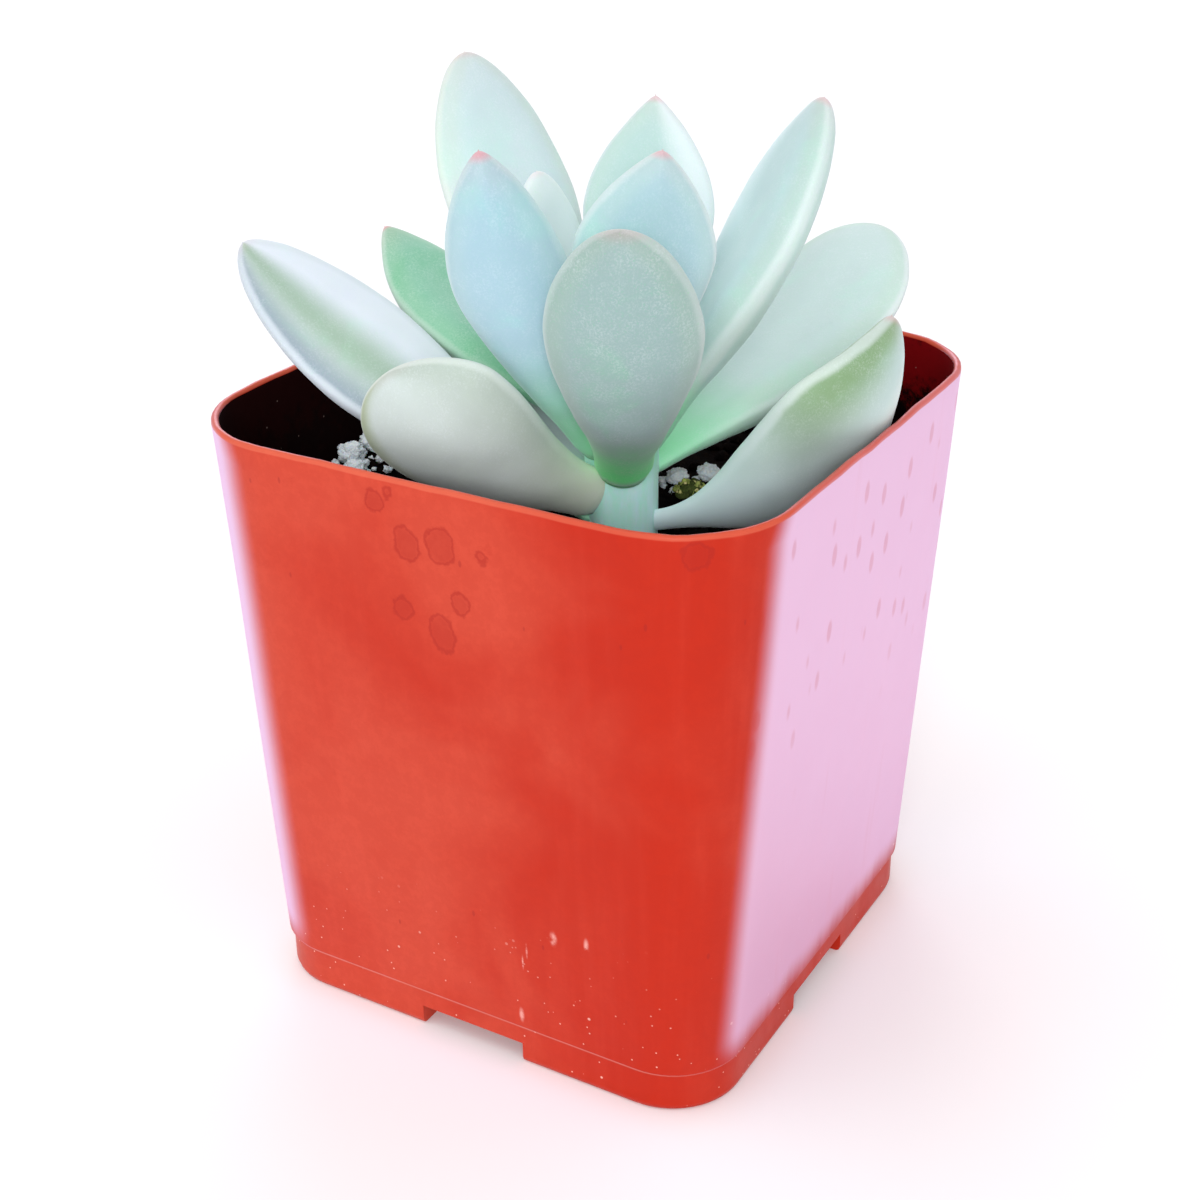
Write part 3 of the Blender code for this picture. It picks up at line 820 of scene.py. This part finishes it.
def leaf_section(leaf, t):
    """Half the width, and the whole thickness, at a share t of the leaf's length."""
    _, width, thickness = leaf["size"]
    neck = leaf.get("neck", 0.3)
    widest = leaf.get("widest", 0.62)
    if t < widest:
        width_share = neck + (1 - neck) * ease(t / widest)
    else:
        left = (t - widest) / (1 - widest)
        round_end = sqrt(max(0, 1 - left ** 2))
        sharp_end = 1 - left ** 1.7
        width_share = round_end + leaf["point"] * (sharp_end - round_end)
    base = neck + NECK_THICKNESS
    swelling = base + (1 - base) * ease(t / 0.4)
    thinning = sqrt(max(0, 1 - max(0, (t - 0.45) / 0.55) ** 2.4))
    return width / 2 * width_share, thickness * swelling * thinning


def midrib(leaf):
    """Points along the leaf's middle, and the sideways and upward directions of its blade."""
    t = np.linspace(0, 1, MIDRIB_STEPS + 1)
    base_rise, tip_rise = leaf["rise"]
    rise = np.radians(base_rise + (tip_rise - base_rise) * t)
    heading = np.radians(leaf["heading"] + leaf.get("sway", 0) * t)
    along = np.stack(
        [np.cos(rise) * np.cos(heading), np.cos(rise) * np.sin(heading), np.sin(rise)], 1)
    seat = leaf["seat"] * UNIT if "seat" in leaf else STEM_RADIUS + LEAF_GAP
    length = leaf["size"][0] * UNIT - seat
    steps = (along[1:] + along[:-1]) / 2 * length / MIDRIB_STEPS
    start = radians(leaf["heading"])
    base = np.array([
        STEM_PLACE[0] + seat * cos(start),
        STEM_PLACE[1] + seat * sin(start),
        SOIL_TOP + leaf["height"] * UNIT,
    ])
    points = np.vstack([base, base + np.cumsum(steps, axis=0)])
    flat = np.stack([-np.sin(heading), np.cos(heading), np.zeros_like(t)], 1)
    upright = np.cross(along, flat)
    base_twist, more_twist = leaf.get("twist", (0, 0))
    twist = np.radians(base_twist + more_twist * t)[:, None]
    side = np.cos(twist) * flat + np.sin(twist) * upright
    up = np.cos(twist) * upright - np.sin(twist) * flat
    return points, along, side, up


def leaf_skin(name, look, leaves):
    """Waxy skin under a powdery bloom, greener at the root and pink at the tip, with painted shade
    darkening it towards the tip and the painted light and shade that its look's tints carry.
    """
    r = Recipe(name)
    along, face = r.value("leaf_along"), r.value("leaf_face")
    edge, across = r.value("leaf_edge"), r.value("leaf_side")
    green = light(look["root"]) if "root" in look else tuple(leaves.green)

    patchy = r.noise(7 * MM, 3, 0.6, warp=0.5)
    # The two faces; a darker lower tint is partly painted shade on the underside.
    r.colour = r.mix(r.ramp(face, -0.25, 0.25), light(look["lower"]), light(look["upper"]))
    band = r.times(r.ramp(edge, 2.6 * MM, 0.9 * MM, 0.0, 0.55), r.ramp(along, 0.10, 0.35))
    r.tint(band, light(look["band"]))
    # Painted shade on a half that is darker, painted light on a half that is lighter.
    if "shading_flank" in look:
        low, high, tint = look["shading_flank"]
        r.tint(r.ramp(across, low, high, 0.0, 0.85), light(tint))
    if "stripe" in look:
        centre, reach, tint, strength = look["stripe"]
        stripe = r.ramp(r.off(across, centre), 0.0, reach, strength, 0.0)
        r.tint(r.times(stripe, r.ramp(along, 0.25, 0.6)), light(tint))
    margin = r.math("ADD", edge, r.swing(patchy, 0.5 * MM))
    margin = r.ramp(margin, 0.55 * MM, 0.10 * MM, 0.0, 0.8)
    r.tint(margin, light(look["margin"]))

    # Bare green where the leaf is shaded or rubbed: at the root and in soft patches. The
    # front_side and cream leaves take a pale root tint instead, painted light over the shade at
    # their bases.
    root = r.math("ADD", along, r.swing(patchy, 0.16))
    r.tint(r.ramp(root, look["base"], 0.02, 0.0, 0.85), green)
    rubbed = r.ramp(patchy, 0.52, 0.78, 0.0, 0.30)
    r.tint(rubbed, green, "SOFT_LIGHT")
    # Painted shade: each leaf grows a little darker towards its tip.
    r.tint(r.ramp(along, 0.35, 1.0), light((0.93, 0.94, 0.94)), "MULTIPLY")

    for low, high, most in ((0.97, 0.998, 0.85), (0.85, 1.0, 0.12)):
        tip = r.ramp(along, low, high, 0.0, most * look["blush"])
        r.tint(tip, tuple(leaves.blush))

    # The bloom: fine powder, in clouds.
    powder = r.noise(0.18 * MM, 3, 0.75)
    clouds = r.ramp(r.noise(2.0 * MM, 5, 0.75), 0.35, 0.70, 0.04, 0.22)
    bloom = r.times(r.ramp(powder, 0.42, 0.66), clouds)
    r.tint(bloom, tuple(leaves.bloom))
    r.tint(r.ramp(powder, 0.42, 0.30, 0.0, 0.16), green)

    fine = r.bump(powder, 0.02 * MM, 0.5)
    uneven = r.bump(r.noise(1.6 * MM, 2, 0.5), 0.05 * MM, 0.5, fine)
    r.set(Base_Color=r.colour, Roughness=r.ramp(powder, 0.35, 0.65, 0.52, 0.72),
          Normal=uneven, Subsurface_Weight=0.22, Subsurface_Scale=1.0 * MM,
          Subsurface_Radius=(0.9, 1.0, 0.7), Specular_IOR_Level=0.35,
          Sheen_Weight=0.30, Sheen_Roughness=0.45, Sheen_Tint=(0.93, 0.97, 1.0))
    return r.material


def make_leaf(name, leaf, leaves):
    """A fleshy leaf: a flatter upper face, a fuller lower one and a soft margin between."""
    tracks = midrib(leaf)
    points, forward = tracks[:2]
    stations = np.linspace(0, 1, MIDRIB_STEPS + 1)
    length = leaf["size"][0] * UNIT
    count = leaves.around

    # Two rings run back from the base, so that the leaf meets the stem.
    shares = [-0.055, -0.02] + [
        (1 - cos(pi * step / leaves.along)) / 2 for step in range(1, leaves.along)
    ]
    seed = sum(ord(letter) for letter in name)
    look = LOOKS[leaf["look"]]
    verts, marks = [], []  # marks: along, face, edge and side at each point
    for t in shares:
        inside = max(t, 0)
        place, ahead, across, lift = (
            np.array([np.interp(inside, stations, track[:, k]) for k in range(3)])
            for track in tracks
        )
        place = place + ahead * min(t, 0) * length
        half_width, thickness = leaf_section(leaf, inside)
        half_width *= UNIT * (1 + 3.0 * min(t, 0))
        thickness *= UNIT * (1 + 3.0 * min(t, 0))
        channel = look.get("channel", 0.10) * ease(inside / 0.3) * ease((1 - inside) / 0.4)
        keel = 0.07 * ease((inside - 0.35) / 0.5)
        for step in range(count):
            angle = 2 * pi * step / count
            x, y = cos(angle), sin(angle)
            full = abs(y) ** 1.15
            if y >= 0:
                height = UPPER_SHARE * full - channel * max(0, 1 - (x / 0.6) ** 2) ** 2
            else:
                height = -(1 - UPPER_SHARE) * full * (1 + keel * max(0, 1 - abs(x) / 0.5))
            vert = place + across * half_width * x + lift * thickness * height
            soft = wobble((vert[0] + seed * 0.01, vert[1], vert[2]), 7 * MM)
            soft += 0.4 * wobble((vert[0], vert[1] + seed * 0.01, vert[2]), 2.6 * MM)
            push = leaves.dimples * soft * min(1, half_width / (2.5 * MM))
            verts.append(vert + push * (across * x + lift * y))
            marks.append((inside, y, max(0, half_width * (1 - abs(x))), x))
    faces = tube_faces(len(shares), count)
    tip = points[-1] + forward[-1] * 0.25 * MM * leaf["point"]
    base, last = len(verts), (len(shares) - 1) * count
    verts += [np.mean(verts[:count], 0), tip]
    marks += [(0, 0, 0, 0), (1, 0, 0, 0)]
    for i in range(count):
        j = (i + 1) % count
        faces += [(base, j, i), (last + i, last + j, base + 1)]
    piece = mesh_object(name + "_skin", verts, faces, leaf_skin(name + "_skin", look, leaves))
    for key, values in zip(("along", "face", "edge", "side"), zip(*marks)):
        point_value(piece.data, "leaf_" + key, values)
    stand_in(piece, "leaf_skin", name)


# ---------------------------------------------------------------- stem


def make_stem(leaves):
    """A short fluted column with a domed top, greener near the top as painted shade under the
    leaves.
    """
    r = Recipe("stem_skin")
    streaks = r.noise(1.1 * MM, 3, 0.6, r.stretched((1, 1, 0.25)))
    r.colour = r.mix(
        r.ramp(streaks, 0.3, 0.7), light((0.75, 1.0, 0.93)), light((0.83, 1.0, 1.0)))
    _, _, up = r.axes()
    # Painted shade: greener near the top, under the leaves.
    shade = r.ramp(up, SOIL_TOP + 5 * MM, SOIL_TOP + 10 * MM, 0.0, 0.6)
    r.tint(shade, light((0.55, 1.0, 0.72)))
    powder = r.noise(0.25 * MM, 3, 0.7)
    r.tint(r.ramp(powder, 0.4, 0.7, 0.0, 0.15), tuple(leaves.bloom))
    r.set(Base_Color=r.colour, Roughness=r.ramp(powder, 0.3, 0.7, 0.5, 0.68),
          Normal=r.bump(streaks, 0.06 * MM, 0.6), Subsurface_Weight=0.2,
          Subsurface_Scale=1.0 * MM, Specular_IOR_Level=0.35, Sheen_Weight=0.25,
          Sheen_Roughness=0.45)

    count, rings = 48, 44
    low, high = STEM_LOW.z, STEM_HIGH.z
    dome = 2.5 * UNIT
    verts = []
    for ring in range(rings):
        z = low + (high - low) * ring / (rings - 1)
        left = max(0.0, (z - (high - dome)) / dome)
        radius = max(STEM_RADIUS * sqrt(max(0.0, 1 - left * left)), 0.05 * MM)
        for i in range(count):
            angle = 2 * pi * i / count
            round_place = (cos(angle), sin(angle), z / (4 * MM))
            flute = 1 + 0.03 * sin(5 * angle + 60 * z) + 0.02 * wobble(round_place, 1.0)
            verts.append((
                STEM_PLACE[0] + radius * flute * cos(angle),
                STEM_PLACE[1] + radius * flute * sin(angle),
                z,
            ))
    piece = mesh_object("stem_column", verts, capped_tube(rings, count), r.material)
    stand_in(piece, "stem_skin", "stem")


# ---------------------------------------------------------------- soil and what lies on it


def lump(bm, place, width, flatness, roughness, fineness, seed):
    """A rough crumb, added to bm."""
    made = bmesh.ops.create_icosphere(bm, subdivisions=fineness, radius=width / 2)["verts"]
    turn = Matrix.Rotation(seed * 2.4, 3, "Z") @ Matrix.Rotation(seed * 1.7, 3, "X")
    for vert in made:
        direction = vert.co.normalized()
        swell = noise.noise(direction * 1.6 + Vector((seed, 0, 0)))
        swell += 0.5 * noise.noise(direction * 3.8 + Vector((0, seed, 0)))
        co = turn @ (vert.co * (1 + roughness * swell))
        co.z *= flatness
        vert.co = co + place
    return made


def soil_mix(soil):
    """Dark potting mix with a few pale flakes."""
    r = Recipe("potting_mix")
    bits = r.noise(0.9 * MM, 4, 0.7)
    r.colour = r.mix(r.ramp(bits, 0.45, 0.85), tuple(soil.peat), (0.022, 0.012, 0.008))
    flakes = r.ramp(r.cells(1.7 * MM), 0.025, 0.055, 0.6, 0.0)
    r.tint(flakes, (0.36, 0.32, 0.28))
    r.set(Base_Color=r.colour, Roughness=r.ramp(bits, 0.3, 0.7, 0.82, 1.0),
          Normal=r.bump(r.noise(0.4 * MM, 4, 0.7), 0.15 * MM, 0.8),
          Specular_IOR_Level=0.05)
    return r.material


def make_soil(soil, pot):
    """The mix that fills the pot, uneven on top, with loose crumbs."""
    gap = 0.05 * MM
    wall = pot.wall + gap
    half = POT_HIGH.x - pot.wall - (POT_HIGH.z - SOIL_TOP) * pot.taper / POT_HIGH.z - gap
    corner = pot.rim_corner - wall
    outline = rounded_square(half, corner, 0, *SOIL_STEPS)
    count = len(outline)
    verts = []
    for ring in range(SOIL_RINGS, 0, -1):
        share = ring / SOIL_RINGS
        for point in outline:
            x, y = point.x * share, point.y * share
            rough = wobble((x, y, 0), 5 * MM) + 0.55 * wobble((x, y, 0.3), 1.7 * MM)
            rough += 0.35 * wobble((x, y, 0.7), 0.7 * MM)
            verts.append((x, y, SOIL_TOP - 0.3 * MM + soil.relief * 0.6 * rough))
    middle, below = len(verts), len(verts) + 1
    verts.append((0, 0, SOIL_TOP))
    base_half = POT_HIGH.x - pot.taper - SKIRT_STEP - wall
    verts += rounded_square(
        base_half, pot.base_corner - wall, SOIL_LOW.z + 3 * MM, *SOIL_STEPS)
    faces = tube_faces(SOIL_RINGS, count)
    low = (SOIL_RINGS - 1) * count
    for i in range(count):
        j = (i + 1) % count
        faces += [(low + i, low + j, middle), (below + i, below + j, j, i)]
    faces.append(tuple(reversed(range(below, below + count))))
    piece = mesh_object("soil_mix", verts, faces, soil_mix(soil))

    bm = bmesh.new()
    bm.from_mesh(piece.data)
    chance = np.random.default_rng(11)
    for number in range(soil.crumbs):
        x, y = chance.uniform(-half + 0.6 * MM, half - 0.6 * MM, 2)
        width = chance.uniform(0.5, 1.7) * MM
        corner_gap = Vector((abs(x) - (half - corner), abs(y) - (half - corner)))
        if min(corner_gap) > 0 and corner_gap.length > corner - width:
            continue
        z = SOIL_TOP + chance.uniform(-0.3, 0.25) * MM
        lump(bm, Vector((x, y, z)), width, 0.7, 0.5, 2, number * 0.37)
    bm.to_mesh(piece.data)
    bm.free()
    piece.data.shade_smooth()
    stand_in(piece, "potting_mix", "soil")


def make_perlite():
    """White pitted grains, each with small crumbs of its own round it."""
    r = Recipe("perlite")
    dust = r.noise(0.5 * MM, 4, 0.7)
    r.colour = r.mix(
        r.ramp(dust, 0.35, 0.75), light((0.98, 1.0, 1.0)), light((0.90, 0.95, 1.0)))
    # Painted shade in the pits.
    hollow = r.math("ADD", r.value("pit"), r.swing(dust, 0.5))
    r.tint(r.ramp(hollow, 0.30, 0.65, 0.0, 0.4), light((0.45, 0.46, 0.50)))
    r.set(Base_Color=r.colour, Normal=r.bump(r.noise(0.25 * MM, 3, 0.7), 0.04 * MM, 0.5),
          Roughness=0.92, Specular_IOR_Level=0.25, Subsurface_Weight=0.1,
          Subsurface_Scale=0.5 * MM)
    chance = np.random.default_rng(3)
    for number, node in enumerate(PERLITE_NODES):
        low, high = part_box(node)
        centre, size = (low + high) / 2, high - low
        bm = bmesh.new()
        bmesh.ops.create_icosphere(bm, subdivisions=5, radius=0.5)
        seed = Vector((number * 3.1, number * 1.7, 0))
        pits = []
        for vert in bm.verts:
            direction = vert.co.normalized()
            big = noise.noise(direction * 2.1 + seed)
            small = abs(noise.noise(direction * 4.6 + seed))
            fine = abs(noise.noise(direction * 9.5 + seed))
            dent = max(0, 0.22 * (0.35 - small) + 0.10 * (0.3 - fine))
            vert.co = vert.co * (1 + 0.25 * big - dent * 1.6) * size + centre
            pits.append(dent * 4)
        for crumb in range(PERLITE_CRUMBS):
            turn = 2 * pi * crumb / PERLITE_CRUMBS + number
            reach = 0.5 * size.x + chance.uniform(0.0, 0.5) * MM
            place = Vector((centre.x + reach * cos(turn), centre.y + reach * sin(turn),
                            SOIL_TOP + chance.uniform(0.1, 0.5) * MM))
            made = lump(bm, place, chance.uniform(0.4, 1.1) * MM, 0.9, 0.7, 3, turn)
            pits += [0.0] * len(made)
        piece = lumps_object(f"grain_{number + 1}", bm, r.material, "pit", pits)
        stand_in(piece, "perlite", node)


def make_moss():
    """A low mound of small tufts, each in its own tone."""
    r = Recipe("moss")
    tone = r.value("tone")
    r.colour = r.mix(r.ramp(tone, 0.2, 0.55), light((0.30, 0.34, 0.16)), light((0.74, 0.78, 0.42)))
    r.tint(r.ramp(tone, 0.75, 0.95), light((0.90, 0.84, 0.58)))
    fuzz = r.noise(0.3 * MM, 3, 0.7)
    r.tint(r.ramp(fuzz, 0.45, 0.7, 0.0, 0.5), light((0.12, 0.10, 0.07)))
    r.set(Base_Color=r.colour, Normal=r.bump(fuzz, 0.05 * MM, 0.6), Roughness=0.9,
          Specular_IOR_Level=0.2)
    low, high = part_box("moss_crumb")
    centre, half = (low + high) / 2, (high - low) / 2
    chance = np.random.default_rng(5)
    bm = bmesh.new()
    made = lump(bm, centre, 2 * half.x * 0.8, 0.5, 0.4, 3, 1.0)
    tones = [0.1] * len(made)
    for number in range(MOSS_TUFTS):
        turn, up = chance.uniform(0, 2 * pi), chance.uniform(0, 1)
        reach = sqrt(1 - up * up)
        direction = Vector((reach * cos(turn), reach * sin(turn), up))
        root = centre + direction * half * chance.uniform(0.55, 0.9)
        width = chance.uniform(0.25, 0.6) * MM
        made = lump(bm, root, width, 1.0, 0.5, 1, number * 0.7)
        tones += [chance.uniform(0, 1)] * len(made)
    piece = lumps_object("moss_tuft", bm, r.material, "tone", tones)
    stand_in(piece, "moss", "moss_crumb")


# ---------------------------------------------------------------- stage


def make_floor(stage):
    r = Recipe("floor")
    r.set(Base_Color=tuple(stage.floor), Roughness=0.8, Specular_IOR_Level=0.2)
    verts, faces = [(0, 0, 0)], []
    for i in range(FLOOR_STEPS):
        turn = 2 * pi * i / FLOOR_STEPS
        verts.append((FLOOR_RADIUS * cos(turn), FLOOR_RADIUS * sin(turn), 0))
        faces.append((0, i + 1, (i + 1) % FLOOR_STEPS + 1))
    floor = mesh_object("floor", verts, faces, r.material, smooth=False)
    floor.location.z = -0.02 * MM


def make_light(name, place, size, power, colour):
    """A soft round light that faces the plant."""
    lamp = bpy.data.lights.new(name, "AREA")
    lamp.shape = "DISK"
    lamp.size = size
    lamp.energy = power
    lamp.color = colour
    made = put(name, lamp)
    made.location = place
    aim = Vector(LIGHT_AIM) - Vector(place)
    made.rotation_euler = aim.to_track_quat("-Z", "Y").to_euler()


def make_camera(stage):
    scene = bpy.context.scene
    a, e = stage.azimuth, stage.elevation
    back = Vector((sin(a) * cos(e), -cos(a) * cos(e), sin(e)))
    right = Vector((cos(a), sin(a), 0))
    up = back.cross(right)
    across = right * cos(CAMERA_ROLL) + up * sin(CAMERA_ROLL)
    upward = up * cos(CAMERA_ROLL) - right * sin(CAMERA_ROLL)
    turn = Matrix((across, upward, back)).transposed().to_4x4()
    camera = bpy.data.cameras.new("camera")
    camera.lens = stage.lens
    camera.sensor_width = 36
    camera.clip_start = 0.01
    holder = put("camera", camera)
    place = Vector(CAMERA_AIM) + back * stage.distance
    holder.matrix_world = Matrix.Translation(place) @ turn
    scene.camera = holder


def make_stage(stage):
    make_floor(stage)
    world = bpy.data.worlds.new("sky")
    world.use_nodes = True
    background = world.node_tree.nodes["Background"]
    background.inputs["Color"].default_value = (0.97, 0.97, 1.0, 1.0)
    background.inputs["Strength"].default_value = stage.sky
    scene = bpy.context.scene
    scene.world = world
    scene.view_settings.view_transform = "Standard"
    make_light("key", (-0.30, -0.40, 1.40), 1.0, stage.key, (1.0, 0.99, 0.97))
    make_light("fill", (0.45, -0.90, 0.50), 0.50, stage.fill, (1.0, 1.0, 1.0))
    make_light("back", (-0.60, 0.85, 0.55), 0.60, stage.back, (1.0, 1.0, 1.0))
    make_camera(stage)


# ---------------------------------------------------------------- operators


class SUCCULENT_OT_pot(bpy.types.Operator):
    """Build the square plastic pot"""

    bl_idname = "succulent.pot"
    bl_label = "Pot"

    def execute(self, context):
        make_pot(context.scene.succulent_pot)
        return {"FINISHED"}


class SUCCULENT_OT_soil(bpy.types.Operator):
    """Build the potting mix and its crumbs"""

    bl_idname = "succulent.soil"
    bl_label = "Soil"

    def execute(self, context):
        make_soil(context.scene.succulent_soil, context.scene.succulent_pot)
        return {"FINISHED"}


class SUCCULENT_OT_stem(bpy.types.Operator):
    """Build the fleshy stem"""

    bl_idname = "succulent.stem"
    bl_label = "Stem"

    def execute(self, context):
        make_stem(context.scene.succulent_leaves)
        return {"FINISHED"}


class SUCCULENT_OT_leaves(bpy.types.Operator):
    """Build every leaf and bud leaf"""

    bl_idname = "succulent.leaves"
    bl_label = "Leaves"

    def execute(self, context):
        for name, leaf in LEAVES.items():
            make_leaf(name, leaf, context.scene.succulent_leaves)
        return {"FINISHED"}


class SUCCULENT_OT_grains(bpy.types.Operator):
    """Build the perlite grains and the moss crumb"""

    bl_idname = "succulent.grains"
    bl_label = "Grains"

    def execute(self, context):
        make_perlite()
        make_moss()
        return {"FINISHED"}


class SUCCULENT_OT_stage(bpy.types.Operator):
    """Build the floor, the lights and the camera"""

    bl_idname = "succulent.stage"
    bl_label = "Stage"

    def execute(self, context):
        make_stage(context.scene.succulent_stage)
        return {"FINISHED"}


OPERATORS = (
    SUCCULENT_OT_pot,
    SUCCULENT_OT_soil,
    SUCCULENT_OT_stem,
    SUCCULENT_OT_leaves,
    SUCCULENT_OT_grains,
    SUCCULENT_OT_stage,
)
SETTINGS = {
    "succulent_pot": PotSettings,
    "succulent_leaves": LeafSettings,
    "succulent_soil": SoilSettings,
    "succulent_stage": StageSettings,
}


class SUCCULENT_PT_panel(bpy.types.Panel):
    """The settings of each part, with the button that builds it"""

    bl_idname = "SUCCULENT_PT_panel"
    bl_label = "Potted succulent"
    bl_space_type = "VIEW_3D"
    bl_region_type = "UI"
    bl_category = "Succulent"

    def draw(self, context):
        for key in SETTINGS:
            box = self.layout.box()
            group = getattr(context.scene, key)
            for name in group.bl_rna.properties.keys():
                if name not in {"rna_type", "name"}:
                    box.prop(group, name)
        for operator in OPERATORS:
            self.layout.operator(operator.bl_idname)


CLASSES = (*SETTINGS.values(), *OPERATORS, SUCCULENT_PT_panel)


def register():
    for made in CLASSES:
        bpy.utils.register_class(made)
    for key, group in SETTINGS.items():
        setattr(bpy.types.Scene, key, PointerProperty(type=group))


def unregister():
    for key in SETTINGS:
        delattr(bpy.types.Scene, key)
    for made in reversed(CLASSES):
        bpy.utils.unregister_class(made)


def main():
    register()
    bpy.ops.succulent.pot()
    bpy.ops.succulent.soil()
    bpy.ops.succulent.stem()
    bpy.ops.succulent.leaves()
    bpy.ops.succulent.grains()
    bpy.ops.succulent.stage()


if __name__ == "__main__":
    main()
